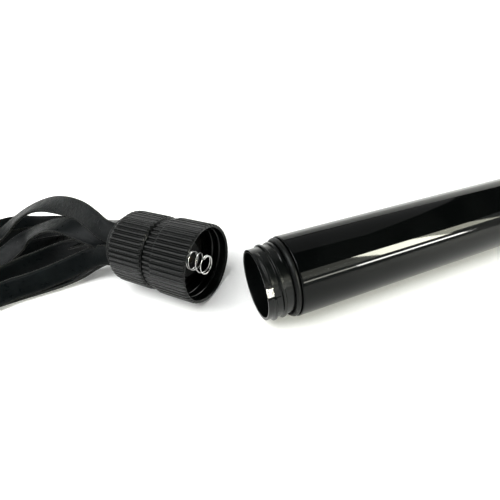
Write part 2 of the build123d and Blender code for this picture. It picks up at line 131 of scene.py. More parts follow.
def dense(points, step=0.4, corner=0.05):
    """Profile points with extra ones along each run, and a pair close to each corner so that shading stays crisp."""
    out = []
    for (a, b), (c, d) in zip(points, points[1:]):
        long = math.hypot(c - a, d - b)
        if long < 1e-9:
            continue
        e = min(corner, long / 4)
        stops = [0.0, e / long]
        k = max(1, int(math.ceil((long - 2 * e) / step)))
        stops += [e / long + (1 - 2 * e / long) * i / k for i in range(1, k)]
        stops += [1 - e / long]
        out += [(a + (c - a) * t, b + (d - b) * t) for t in stops]
    out.append(tuple(points[-1]))
    return out


def smoothstep(a, b, x):
    t = np.clip((np.asarray(x, float) - a) / (b - a), 0, 1)
    return t * t * (3 - 2 * t)


# ------------------------------------------------------------------ material helpers
for old in list(bpy.data.materials):
    old.name = "cad_" + old.name


class Mat:
    def __init__(self, name, base=(0.5, 0.5, 0.5), rough=0.5, metallic=0.0, **more):
        self.m = bpy.data.materials.new(name)
        self.m.use_nodes = True
        self.t = self.m.node_tree
        self.n = self.t.nodes
        self.b = self.n["Principled BSDF"]
        self.b.inputs["Base Color"].default_value = (*base, 1)
        self.b.inputs["Roughness"].default_value = rough
        self.b.inputs["Metallic"].default_value = metallic
        for k, v in more.items():
            self.b.inputs[k.replace("_", " ")].default_value = v
        self.co = self.n.new("ShaderNodeTexCoord").outputs["Object"]

    def link(self, a, b):
        self.t.links.new(a, b)

    def noise(self, scale, detail=4.0, rough=0.55, stretch=None, distort=0.0):
        co = self.co
        if stretch is not None:
            mp = self.n.new("ShaderNodeMapping")
            mp.inputs["Scale"].default_value = stretch[:3]
            if len(stretch) > 3:
                mp.inputs["Rotation"].default_value = (0, 0, stretch[3])
            self.link(self.co, mp.inputs["Vector"])
            co = mp.outputs["Vector"]
        nd = self.n.new("ShaderNodeTexNoise")
        nd.inputs["Scale"].default_value = scale
        nd.inputs["Detail"].default_value = detail
        nd.inputs["Roughness"].default_value = rough
        nd.inputs["Distortion"].default_value = distort
        self.link(co, nd.inputs["Vector"])
        return nd.outputs["Fac"]

    def voronoi(self, scale, feature="F1"):
        nd = self.n.new("ShaderNodeTexVoronoi")
        nd.feature = feature
        nd.inputs["Scale"].default_value = scale
        self.link(self.co, nd.inputs["Vector"])
        return nd.outputs["Distance"]

    def span(self, value, lo, hi, a=0.0, b=1.0):
        nd = self.n.new("ShaderNodeMapRange")
        nd.inputs["From Min"].default_value = a
        nd.inputs["From Max"].default_value = b
        nd.inputs["To Min"].default_value = lo
        nd.inputs["To Max"].default_value = hi
        self.link(value, nd.inputs["Value"])
        return nd.outputs["Result"]

    def ramp(self, value, *stops):
        nd = self.n.new("ShaderNodeValToRGB")
        while len(nd.color_ramp.elements) < len(stops):
            nd.color_ramp.elements.new(0.5)
        for e, (pos, colour) in zip(nd.color_ramp.elements, stops):
            e.position = pos
            e.color = (*colour, 1)
        self.link(value, nd.inputs["Fac"])
        return nd.outputs["Color"]

    def math(self, op, a, b):
        nd = self.n.new("ShaderNodeMath")
        nd.operation = op
        for k, v in ((0, a), (1, b)):
            if isinstance(v, (int, float)):
                nd.inputs[k].default_value = v
            else:
                self.link(v, nd.inputs[k])
        return nd.outputs["Value"]

    def colour(self, value, *stops):
        self.link(self.ramp(value, *stops), self.b.inputs["Base Color"])
        return self

    def roughness(self, value, lo, hi, a=0.35, b=0.65):
        self.link(self.span(value, lo, hi, a, b), self.b.inputs["Roughness"])
        return self

    def bump(self, *layers):
        """Layers of (height, strength, distance in metres)."""
        last = None
        for height, strength, far in layers:
            nd = self.n.new("ShaderNodeBump")
            nd.inputs["Strength"].default_value = strength
            nd.inputs["Distance"].default_value = far
            self.link(height, nd.inputs["Height"])
            if last is not None:
                self.link(last, nd.inputs["Normal"])
            last = nd.outputs["Normal"]
        self.link(last, self.b.inputs["Normal"])
        return self


def make_materials():
    g = Mat("gloss_black", (0.0018, 0.0022, 0.0022), 0.05, IOR=1.5, Specular_IOR_Level=0.22)
    g.colour(g.noise(60, 2), (0.35, (0.0014, 0.0018, 0.0018)), (0.65, (0.0026, 0.0031, 0.0030)))
    g.roughness(g.noise(220, 5, 0.65), 0.035, 0.075)
    g.bump((g.noise(30, 1, 0.4), 0.22, 0.0006), (g.noise(2600, 2), 0.03, 0.00003))

    s = Mat("satin_black", (0.004, 0.005, 0.0048), 0.34, IOR=1.5, Specular_IOR_Level=0.36)
    s.colour(s.noise(180, 3), (0.35, (0.0018, 0.0025, 0.0023)), (0.65, (0.0034, 0.0044, 0.0041)))
    s.roughness(s.noise(700, 5, 0.6), 0.20, 0.27)
    s.bump((s.noise(1400, 4, 0.6), 0.10, 0.00002))

    l = Mat("leather_black", (0.003, 0.004, 0.004), 0.42, IOR=1.5, Specular_IOR_Level=0.12)
    cells = l.voronoi(1150)
    pores = l.voronoi(2600, "DISTANCE_TO_EDGE")
    folds = l.noise(240, 5, 0.6, distort=0.4)
    l.colour(l.noise(120, 4), (0.32, (0.0016, 0.0026, 0.0030)), (0.68, (0.0042, 0.0060, 0.0066)))
    l.roughness(l.noise(520, 5, 0.65), 0.26, 0.44)
    l.bump((folds, 0.35, 0.00045), (cells, 0.30, 0.00012), (pores, 0.18, 0.00006))

    e = Mat("leather_edge", (0.01, 0.011, 0.01), 0.3, IOR=1.5, Specular_IOR_Level=0.12)
    e.colour(e.noise(700, 5), (0.3, (0.006, 0.007, 0.007)), (0.7, (0.020, 0.021, 0.019)))
    e.roughness(e.noise(900, 4), 0.22, 0.40)
    e.bump((e.noise(2200, 4), 0.35, 0.00008))

    r = Mat("seal_rubber", (0.005, 0.006, 0.006), 0.4, Specular_IOR_Level=0.25)
    r.colour(r.noise(400, 4), (0.35, (0.003, 0.0035, 0.0035)), (0.7, (0.007, 0.008, 0.0075)))
    r.roughness(r.noise(900, 4), 0.30, 0.48)
    r.bump((r.noise(2400, 3), 0.25, 0.00004))

    n = Mat("nickel", (0.83, 0.81, 0.76), 0.24, 1.0)
    n.colour(n.noise(900, 4), (0.3, (0.70, 0.68, 0.63)), (0.7, (0.90, 0.88, 0.84)))
    n.roughness(n.noise(1500, 4, 0.6, stretch=(0.15, 1, 1)), 0.16, 0.36)
    n.bump((n.noise(3500, 2, 0.5, stretch=(0.1, 1, 1)), 0.12, 0.00003))

    w = Mat("spring_steel", (0.86, 0.86, 0.85), 0.2, 1.0)
    w.colour(w.noise(800, 3), (0.3, (0.72, 0.72, 0.71)), (0.7, (0.93, 0.93, 0.92)))
    w.roughness(w.noise(2500, 3), 0.13, 0.30)
    w.bump((w.noise(4000, 2), 0.1, 0.00002))

    # painted shade: nickel darkened to near black to stand for the shade inside the cap, on the contact disc and ring
    d = Mat("nickel_painted_shade", (0.030, 0.031, 0.030), 0.42, 1.0)
    d.colour(d.noise(900, 4), (0.3, (0.018, 0.019, 0.018)), (0.7, (0.045, 0.046, 0.044)))
    d.roughness(d.noise(1500, 4), 0.34, 0.52)
    d.bump((d.noise(2600, 3), 0.12, 0.00003))

    k = Mat("steel", (0.56, 0.56, 0.57), 0.32, 1.0)
    k.colour(k.noise(500, 4), (0.3, (0.44, 0.44, 0.45)), (0.7, (0.64, 0.64, 0.65)))
    k.roughness(k.noise(1800, 4, 0.6, stretch=(0.1, 1, 1)), 0.22, 0.44)
    k.bump((k.noise(3000, 3, 0.5, stretch=(0.1, 1, 1)), 0.15, 0.00003))

    # painted shade: brass darkened to near black to stand for the shade inside the cap, on the contact rivet
    b = Mat("brass", (0.16, 0.11, 0.06), 0.45, 1.0)
    b.colour(b.noise(700, 4), (0.3, (0.020, 0.017, 0.012)), (0.7, (0.050, 0.042, 0.030)))
    b.roughness(b.noise(1500, 4), 0.38, 0.56)
    b.bump((b.noise(2600, 3), 0.12, 0.00003))

    p = Mat("sleeve_plastic", (0.60, 0.61, 0.60), 0.4)
    p.colour(p.noise(150, 3), (0.35, (0.54, 0.55, 0.54)), (0.65, (0.66, 0.67, 0.65)))
    p.roughness(p.noise(600, 4), 0.32, 0.48)
    p.bump((p.noise(900, 3), 0.15, 0.00005))

    f = Mat("board", (0.24, 0.12, 0.05), 0.55)
    f.colour(f.noise(900, 5, 0.7, stretch=(1, 0.25, 1)), (0.3, (0.17, 0.08, 0.03)), (0.7, (0.32, 0.17, 0.08)))
    f.roughness(f.noise(1200, 4), 0.45, 0.65)
    f.bump((f.noise(1800, 4, 0.6, stretch=(1, 0.25, 1)), 0.25, 0.00005))

    c = Mat("cell_wrap", (0.05, 0.07, 0.09), 0.3)
    c.colour(c.noise(35, 2, stretch=(1, 0.2, 0.2)), (0.40, (0.030, 0.050, 0.055)), (0.60, (0.060, 0.085, 0.090)))
    c.roughness(c.noise(500, 3), 0.22, 0.34)
    c.bump((c.noise(300, 3), 0.12, 0.0001))

    red = Mat("lead_red", (0.45, 0.02, 0.015), 0.4)
    red.colour(red.noise(500, 3), (0.35, (0.36, 0.015, 0.012)), (0.65, (0.52, 0.03, 0.02)))
    red.roughness(red.noise(900, 3), 0.34, 0.48)
    red.bump((red.noise(1800, 3), 0.15, 0.00004))

    blk = Mat("lead_black", (0.012, 0.012, 0.012), 0.4)
    blk.colour(blk.noise(500, 3), (0.35, (0.009, 0.009, 0.009)), (0.65, (0.018, 0.018, 0.018)))
    blk.roughness(blk.noise(900, 3), 0.34, 0.48)
    blk.bump((blk.noise(1800, 3), 0.15, 0.00004))

    t = Mat("binding_thread", (0.010, 0.011, 0.011), 0.6)
    t.colour(t.noise(1200, 5), (0.3, (0.006, 0.007, 0.007)), (0.7, (0.022, 0.024, 0.023)))
    t.roughness(t.noise(2000, 4), 0.42, 0.70)
    t.bump((t.noise(5200, 4, 0.7), 0.45, 0.00008))
    return {x.m.name: x.m for x in (g, s, l, e, r, n, w, d, k, b, p, f, c, red, blk, t)}


MATS = make_materials()
SLOTS = {
    "gloss_black": ["tube_shell", "swivel_washer"],
    "satin_black": ["neck", "cap_skirt", "cap_rear"],
    "seal_rubber": ["o_ring"],
    "nickel": ["contact_strip", "front_contact"],
    # the contact disc and ring get nickel darkened as painted shade
    "nickel_painted_shade": ["cap_contact_ring", "contact_disc"],
    "spring_steel": ["battery_spring"],
    "steel": ["motor_can", "motor_shaft", "pivot_screw", "pivot_washer", "eccentric_weight"],
    "brass": ["contact_rivet"],
    "sleeve_plastic": ["battery_sleeve", "motor_cradle"],
    "board": ["bulkhead"],
    "cell_wrap": ["battery_rear", "battery_front"],
    "lead_red": ["lead_positive"],
    "lead_black": ["lead_negative"],
    "leather_black": ["strap_plug"],
    "binding_thread": ["strap_binding"],
}
for mat, nodes in SLOTS.items():
    for node in nodes:
        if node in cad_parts:
            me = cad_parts[node].data
            me.materials.clear()
            me.materials.append(MATS[mat])


def finish_piece(ob, mat, body, slot, *nodes):
    if not ob.data.materials:
        ob.data.materials.append(MATS[mat])
    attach(ob, body)
    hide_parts(*nodes)
    return ob


# ------------------------------------------------------------------ camera
cam_data = bpy.data.cameras.new("camera")
cam = bpy.data.objects.new("camera", cam_data)
bpy.context.scene.collection.objects.link(cam)
cam_data.sensor_width = 36.0
cam_data.lens = 25.2
cam_data.clip_start = 0.005
cam_data.clip_end = 50.0
right = Vector((0.93541, -0.34340, -0.08411))
up = Vector((0.26603, 0.52695, 0.80719))
fwd = Vector((0.23287, 0.77743, -0.58427))
cam.matrix_world = Matrix((
    (right.x, up.x, -fwd.x, -0.08743),
    (right.y, up.y, -fwd.y, -0.11042),
    (right.z, up.z, -fwd.z, 0.09811),
    (0, 0, 0, 1)))
bpy.context.scene.camera = cam

# ------------------------------------------------------------------ leather strands
W, T = 9.5, 1.2
# Points of each strand's line, mm, and how far its face leans: 0 is standing on edge with the
# face to the near side, 90 is lying flat with the face up. Leans are (share of the length, degrees).
STRANDS = {
    "strand_top": (
        [(-103.42, 24.79, 23.04), (-108.89, 30.62, 23.04), (-112.19, 36.65, 26.0), (-117.53, 47.38, 27.0), (-125.95, 59.89, 26.0), (-135.71, 72.2, 23.5), (-145.44, 78.86, 20.0), (-154.51, 79.3, 15.5), (-163.06, 75.49, 10.5), (-179.0, 65.0, 6.4), (-199.0, 60.0, 5.4), (-222.0, 62.5, 5.2), (-240.16, 59.09, 5.2)],
        [(0, 44), (0.08, 38), (0.2, 42), (0.3, 58), (0.4, 82), (0.47, 95), (0.55, 84), (0.66, 40), (0.8, 12), (1, 6)]),
    "strand_near": (
        [(-106.46, 21.93, 14.1), (-111.93, 27.76, 14.1), (-118.79, 33.61, 10.0), (-127.55, 33.56, 8.0), (-136.73, 32.2, 6.9), (-144.92, 31.0, 6.6), (-153.47, 31.0, 6.4), (-172.0, 24.0, 5.4), (-192.0, 19.0, 5.2), (-216.0, 21.0, 5.2), (-243.0, 19.0, 5.2), (-270.4, 13.04, 5.2)],
        [(0, 18), (0.1, 30), (0.3, 32), (0.45, 28), (0.6, 16), (1, 6)]),
    "strand_arch": (
        [(-103.05, 25.13, 16.39), (-108.53, 30.96, 16.6), (-117.14, 37.13, 20.8), (-124.74, 45.79, 22.4), (-132.94, 53.17, 20.6), (-141.01, 57.9, 17.2), (-148.06, 59.8, 13.8), (-154.91, 56.4, 10.6), (-166.0, 50.0, 7.0), (-186.0, 45.0, 5.4), (-211.0, 46.5, 5.2), (-236.0, 43.0, 5.2), (-257.67, 43.9, 5.2)],
        [(0, 24), (0.1, 52), (0.2, 76), (0.3, 80), (0.38, 66), (0.46, 48), (0.6, 22), (1, 6)]),
    "strand_back": (
        [(-97.8, 30.06, 23.04), (-103.28, 35.89, 23.04), (-110.09, 44.25, 18.6), (-121.94, 59.11, 13.2), (-134.31, 75.51, 9.2), (-146.64, 85.78, 6.6), (-157.67, 90.0, 8.4), (-170.0, 88.0, 8.6), (-190.0, 82.0, 5.8), (-212.0, 82.0, 5.2), (-240.26, 75.58, 5.2)],
        [(0, 112), (0.12, 92), (0.25, 62), (0.4, 30), (0.6, 14), (1, 6)]),
    "strand_far": (
        [(-94.69, 32.98, 16.94), (-100.17, 38.81, 16.94), (-109.95, 48.78, 13.5), (-123.19, 59.9, 9.3), (-135.41, 71.61, 6.8), (-147.16, 77.48, 6.0), (-158.19, 79.44, 6.0), (-177.0, 74.0, 5.4), (-198.0, 70.0, 5.2), (-222.0, 72.5, 5.2), (-247.49, 67.51, 5.2)],
        [(0, 168), (0.3, 172), (0.5, 176), (1, 176)]),
    "strand_middle": (
        [(-98.92, 29.01, 18.56), (-104.4, 34.84, 18.56), (-113.48, 39.45, 15.6), (-122.68, 46.08, 12.2), (-132.46, 55.29, 9.0), (-143.94, 60.81, 6.8), (-153.46, 61.84, 6.2), (-169.0, 58.5, 6.0), (-189.0, 53.5, 5.4), (-212.0, 56.0, 5.2), (-236.0, 51.5, 5.2), (-258.0, 53.0, 5.2)],
        [(0, 126), (0.12, 100), (0.25, 66), (0.4, 36), (0.6, 14), (1, 6)]),
    "strand_inner": (
        [(-99.66, 28.31, 12.23), (-105.14, 34.14, 12.6), (-115.6, 38.4, 13.0), (-124.06, 43.6, 11.6), (-132.99, 49.0, 8.4), (-142.17, 50.22, 6.0), (-150.63, 48.48, 6.0), (-167.0, 41.0, 5.4), (-187.0, 36.0, 5.2), (-212.0, 38.0, 5.2), (-238.0, 34.0, 5.2), (-262.49, 35.53, 5.2)],
        [(0, -104), (0.07, -60), (0.14, -10), (0.3, 4), (0.5, 4), (1, 4)]),
    "strand_under": (
        [(-103.42, 24.79, 8.56), (-108.89, 30.4, 7.6), (-118.6, 34.2, 3.4), (-127.61, 34.0, 1.6), (-136.28, 33.4, 1.3), (-151.0, 33.2, 1.3), (-168.0, 30.5, 2.2), (-190.0, 28.0, 4.95), (-214.0, 29.5, 4.95), (-239.0, 26.0, 4.95), (-269.2, 28.63, 4.95)],
        [(0, -58), (0.12, -72), (0.22, -84), (0.42, -86), (0.55, -40), (0.68, -4), (1, 4)]),
}


def route_line(name, points):
    """The smooth line through a strand's route, read from its NURBS spline, in metres."""
    cu = bpy.data.curves.new(name + "_route", "CURVE")
    cu.dimensions = "3D"
    sp = cu.splines.new("NURBS")
    sp.points.add(len(points) - 1)
    for q, p in zip(sp.points, points):
        q.co = (p[0] * MM, p[1] * MM, p[2] * MM, 1)
    sp.order_u = 3
    sp.use_endpoint_u = True
    sp.resolution_u = 24
    ob = bpy.data.objects.new(name + "_route", cu)
    me = bpy.data.meshes.new_from_object(ob)
    line = np.array([v.co for v in me.vertices], float)
    bpy.data.objects.remove(ob)
    bpy.data.curves.remove(cu)
    bpy.data.meshes.remove(me)
    return line


def even(line, count):
    keep = np.concatenate([[True], np.linalg.norm(np.diff(line, axis=0), axis=1) > 1e-9])
    line = line[keep]
    at = np.concatenate([[0], np.cumsum(np.linalg.norm(np.diff(line, axis=0), axis=1))])
    to = np.linspace(0, at[-1], count)
    return np.stack([np.interp(to, at, line[:, k]) for k in range(3)], axis=1), at[-1]


def strand_section():
    """Outline of a strand: x across, y out of its face, both in mm; and which points belong to the cut edges."""
    h, e = T / 2, T * 0.5
    xs = [-4.15, -3.95, -3.8, -3.65, -3.45, -2.6, -1.3, 0.0, 1.3, 2.6, 3.45, 3.65, 3.8, 3.95, 4.15]
    def face(x):
        groove = 0.11 * math.exp(-((abs(x) - 3.8) / 0.14) ** 2)
        return h + 0.05 * (1 - (x / 4.2) ** 2) - groove
    top = [(x, face(x)) for x in xs]
    right_edge = [(W / 2 - e + e * math.sin(a), h * math.cos(a)) for a in (math.radians(d) for d in (0, 22, 45, 68, 90, 112, 135, 158, 180))]
    bottom = [(x, -h - 0.03 * (1 - (x / 4.2) ** 2)) for x in (3.6, 2.4, 1.2, 0.0, -1.2, -2.4, -3.6)]
    left_edge = [(-W / 2 + e - e * math.sin(a), -h * math.cos(a)) for a in (math.radians(d) for d in (0, 22, 45, 68, 90, 112, 135, 158, 180))]
    pts = top[1:-1] + right_edge + bottom + left_edge
    flag = [0] * len(top[1:-1]) + [1] * len(right_edge) + [0] * len(bottom) + [1] * len(left_edge)
    return np.array(pts), flag


def make_strand(name, points, leans, seed):
    line, long = even(route_line(name, points), 240)
    n = len(line)
    f = np.linspace(0, 1, n)
    tan = np.gradient(line, axis=0)
    tan /= np.linalg.norm(tan, axis=1)[:, None]
    lean = np.radians(np.interp(f, [a for a, _ in leans], [b for _, b in leans]))
    k = np.ones(19) / 19                       # soften the changes of lean
    lean = np.convolve(np.pad(lean, 9, mode="edge"), k, mode="valid")
    lean += math.radians(1.6) * np.sin(f * 23 + seed) * smoothstep(0.05, 0.3, f)
    z = np.array([0, 0, 1.0])
    side = np.cross(z, tan)
    side /= np.linalg.norm(side, axis=1)[:, None]
    top = np.cross(tan, side)
    normal = np.cos(lean)[:, None] * side + np.sin(lean)[:, None] * top
    across = np.cross(normal, tan)
    sec, flag = strand_section()
    x, y = sec[:, 0], sec[:, 1]
    # the root is squeezed a little and cupped round the plug
    root = 1 - smoothstep(0.0, 0.14, f)
    cup = 0.028 * root
    xs = x[None, :] * (1 - 0.05 * root[:, None])
    ys = y[None, :] - cup[:, None] * xs ** 2
    verts = line[:, None, :] + xs[..., None] * across[:, None, :] * MM + ys[..., None] * normal[:, None, :] * MM
    m = len(x)
    V = verts.reshape(-1, 3)
    V[:, 2] = np.maximum(V[:, 2], 0.00004)
    faces, mats = [], []
    for i in range(n - 1):
        for j in range(m):
            l = (j + 1) % m
            faces.append((i * m + j, i * m + l, (i + 1) * m + l, (i + 1) * m + j))
            mats.append(1 if flag[j] and flag[l] else 0)
    c0, c1 = len(V), len(V) + 1
    V = np.concatenate([V, line[:1] - tan[:1] * 0.00002, line[-1:] + tan[-1:] * 0.00005])
    for j in range(m):
        l = (j + 1) % m
        faces.append((c0, l, j))
        faces.append((c1, (n - 1) * m + j, (n - 1) * m + l))
        mats += [1, 1]
    ob = outward(mesh_object(name + "_leather", V, faces))
    ob.data.materials.append(MATS["leather_black"])
    ob.data.materials.append(MATS["leather_edge"])
    ob.data.polygons.foreach_set("material_index", mats)
    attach(ob, "cap_rear_body")
    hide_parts(name)
    return ob


for i, (name, (points, leans)) in enumerate(STRANDS.items()):
    make_strand(name, points, leans, 1.3 * i)

# ------------------------------------------------------------------ handle
def shell_r(s):
    return 15.0 - 0.011 * np.asarray(s, float)


def make_shell():
    r0 = float(shell_r(145))
    prof = dense([(0.0, 13.02), (0.0, 14.62)], 0.4)[:-1]
    prof += [(0.38 - 0.38 * math.cos(a), 14.62 + 0.376 * math.sin(a)) for a in np.radians(np.linspace(0, 90, 8))]
    prof += [(s, float(shell_r(s))) for s in list(np.linspace(0.9, 5, 6)) + list(np.linspace(8, 144, 46))]
    prof += [(145 + 13 * math.sin(a), r0 * math.cos(a) ** 1.15) for a in np.radians(np.linspace(0, 89, 60))]
    prof += [(158.0, 0.0)]
    inner = [(156.55, 0.0)]
    inner += [(145 + 11.55 * math.sin(a), (r0 - 1.45) * math.cos(a) ** 1.15) for a in np.radians(np.linspace(89, 0, 30))]
    inner += [(s, float(shell_r(s)) - 1.45) for s in np.linspace(144, 15, 24)]
    inner += [(14.45, float(shell_r(14)) - 1.45), (14.4, 13.3), (14.4, 13.02), (13.0, 13.02), (6.0, 13.02), (1.0, 13.02)]
    # the body is one closed skin: the outside from the axis back to the shoulder, then the inside
    outside = prof[::-1]
    path = outside + inner[::-1]
    a = np.array(path)
    return revolve("handle_shell", handle_at, a[:, 0], a[:, 1], n=256, loop=False)


finish_piece(make_shell(), "gloss_black", "handle", "gloss_black", "tube_shell")


def make_neck():
    a0 = math.radians(155)
    base = np.arange(420) * 2 * math.pi / 420
    extra = []
    for half in (1.8, 2.2):
        for sgn in (-1, 1):
            for d in (-0.06, 0.0, 0.06):
                extra.append(a0 + sgn * (half + d) / 12.6)
    angles = np.unique(np.concatenate([base, np.mod(extra, 2 * math.pi)]))
    n = len(angles)
    off = (angles - a0) * 12.6                                     # mm across the strip
    s_out = np.concatenate([[-11.5], -11.5 + 0.25 * (1 - np.cos(np.radians(np.linspace(15, 90, 6)))), np.arange(-11.15, -0.15, 0.095), [-0.1, -0.02, 0.0]])
    r_out = 12.9 * np.ones(len(s_out))
    r_out[0] = 12.65
    r_out[1:7] = 12.65 + 0.25 * np.sin(np.radians(np.linspace(15, 90, 6)))
    r_out = np.where(s_out > -2.1, 12.75, r_out)
    R = np.repeat(r_out[:, None], n, 1)
    S = np.repeat(s_out[:, None], n, 1)
    turn0 = (angles - math.pi / 2) / (2 * math.pi)
    for k in (-1, 0, 1, 2, 3):
        th = turn0 + k
        centre = -10.0 + 3.4 * th
        fade = smoothstep(-0.02, 0.07, th) * (1 - smoothstep(1.98, 2.09, th))
        d = np.abs(S - centre[None, :])
        h = 0.8 * (1 - smoothstep(0.28, 0.86, d))
        R = np.maximum(R, 12.9 + np.where(S < -2.3, 1, 0) * h * fade[None, :] * np.where((th > -0.05) & (th < 2.12), 1, 0)[None, :])
    # the notch outside the strip, and the step in the rim
    notch = (np.abs(off)[None, :] < 2.2) & (S < -7.0)
    R = np.where(notch, 12.57, R)
    prof_in = [(-11.5, 11.9), (-11.45, 11.9), (-9, 11.9), (-6, 11.9), (-3, 11.9), (-2.55, 11.9), (-2.5, 11.7), (0, 11.7), (7, 11.7), (13.9, 11.7), (14.0, 11.7)]
    tail = [(14.0, 12.2), (14.0, 12.95), (13.95, 13.0), (10, 13.0), (5, 13.0), (0.05, 13.0), (0.0, 12.98)]
    rim = [(-11.5, 12.4), (-11.5, 12.15)]
    ring = np.array(rim + prof_in + tail)
    R2 = np.repeat(ring[:, 1][:, None], n, 1)
    S2 = np.repeat(ring[:, 0][:, None], n, 1)
    S_all = np.concatenate([S, S2[::1]])
    R_all = np.concatenate([R, R2])
    # order: outside from the rim to the shoulder, spigot, its end, the bore back to the rim
    outside_n = len(s_out)
    spigot = np.array([(0.0, 12.98), (0.05, 13.0), (5, 13.0), (10, 13.0), (13.95, 13.0), (14.0, 12.95), (14.0, 12.2)])
    bore = np.array([(14.0, 11.7), (13.9, 11.7), (7, 11.7), (0, 11.7), (-2.5, 11.7), (-2.55, 11.9), (-3, 11.9), (-6, 11.9), (-9, 11.9), (-11.0, 11.9), (-11.1, 11.9), (-11.2, 11.9), (-11.42, 11.9), (-11.5, 11.95), (-11.5, 12.3)])
    rest = np.concatenate([spigot, bore])
    S_all = np.concatenate([S, np.repeat(rest[:, 0][:, None], n, 1)])
    R_all = np.concatenate([R, np.repeat(rest[:, 1][:, None], n, 1)])
    step = (np.abs(off)[None, :] < 1.8) & (S_all < -11.12)
    S_all = np.where(step, -11.12, S_all)
    bed = (np.abs(off)[None, :] < 1.8) & (R_all < 12.0)
    R_all = np.where(bed & (S_all < 13.9), 12.27, R_all)
    ob = revolve("neck_thread", handle_at, S_all, R_all, angles=angles, loop=True)
    return ob


finish_piece(make_neck(), "satin_black", "handle", "satin_black", "neck")


def make_o_ring():
    a = np.radians(np.arange(0, 360, 12))
    s = -1.07 + 1.02 * np.cos(a)
    r = 13.69 + 0.94 * np.sin(a) + 0.02 * (np.abs(np.cos(a)) < 0.15)
    return revolve("seal_ring", handle_at, s, r, n=240)


finish_piece(make_o_ring(), "seal_rubber", "handle", "seal_rubber", "o_ring")


def make_strip():
    """The nickel strip, folded over the rim with a rounded bend and a pressed dimple in its tab."""
    a0 = math.radians(155)
    w, t = 3.2, 0.32
    mid = [(s, 12.09) for s in np.linspace(103.9, -10.9, 60)]
    fold = [(-11.02 - 0.32 * math.sin(q), 12.43 - 0.34 * math.cos(q)) for q in np.radians(np.linspace(10, 170, 14))]
    tab = [(s, 12.77) for s in np.linspace(-10.95, -9.25, 14)]
    path = np.array(mid + fold + tab)
    d = np.gradient(path, axis=0)
    d /= np.linalg.norm(d, axis=1)[:, None]
    nrm = np.stack([d[:, 1], -d[:, 0]], 1)
    xs = np.linspace(-1, 1, 13)
    rows = []
    for (s, r), nn in zip(path, nrm):
        top, bot = [], []
        for x in xs:
            edge = max(0.0, abs(x) - 0.93) / 0.07
            dim = 0.0
            if r > 12.6 and s > -10.8:
                dim = 0.13 * math.exp(-((x * w / 2) / 0.62) ** 2 - ((s + 10.05) / 0.5) ** 2)
            up_ = t / 2 * (1 - 0.5 * edge ** 2)
            top.append((s - nn[0] * up_ * 1, r - nn[1] * up_, x))
            bot.append((s + nn[0] * up_ * 1, r + nn[1] * up_, x))
            if dim:
                top[-1] = (top[-1][0], top[-1][1] - dim, x)
                bot[-1] = (bot[-1][0], bot[-1][1] - dim, x)
        rows.append(top + bot[::-1])
    m = len(rows[0])
    verts = []
    ex = -math.sin(a0) * T_X + math.cos(a0) * T_Y
    er = math.cos(a0) * T_X + math.sin(a0) * T_Y
    for row in rows:
        for s, r, x in row:
            verts.append((T_O + s * T_D + r * er + x * w / 2 * ex) * MM)
    faces = []
    for i in range(len(rows) - 1):
        for j in range(m):
            l = (j + 1) % m
            faces.append((i * m + j, i * m + l, (i + 1) * m + l, (i + 1) * m + j))
    h = m // 2
    for i0, flip in ((0, False), ((len(rows) - 1) * m, True)):
        for j in range(h - 1):
            q = (i0 + j, i0 + j + 1, i0 + m - 2 - j, i0 + m - 1 - j)
            faces.append(q if flip else q[::-1])
    return outward(mesh_object("strip_metal", np.array(verts), faces))


finish_piece(make_strip(), "nickel", "handle", "nickel", "contact_strip")

# ------------------------------------------------------------------ cap
RIB_U = np.array([0.0, 0.13, 0.27, 0.38, 0.5, 0.62, 0.73, 0.87, 1.0])
RIB_D = np.array([0.0, 0.03, 0.17, 0.48, 0.62, 0.48, 0.17, 0.03, 0.0])


def rib_drop(a):
    u = np.mod(a * 46 / (2 * math.pi), 1.0)
    # smooth curve through the steps
    d = np.interp(u, RIB_U, RIB_D)
    soft = 0.31 * (1 - np.cos(2 * math.pi * u)) * 1.0
    return 1.42 * (0.55 * d + 0.45 * np.where(np.abs(u - 0.5) < 0.5, 0.62 * (soft / 0.62) ** 1.6, 0))


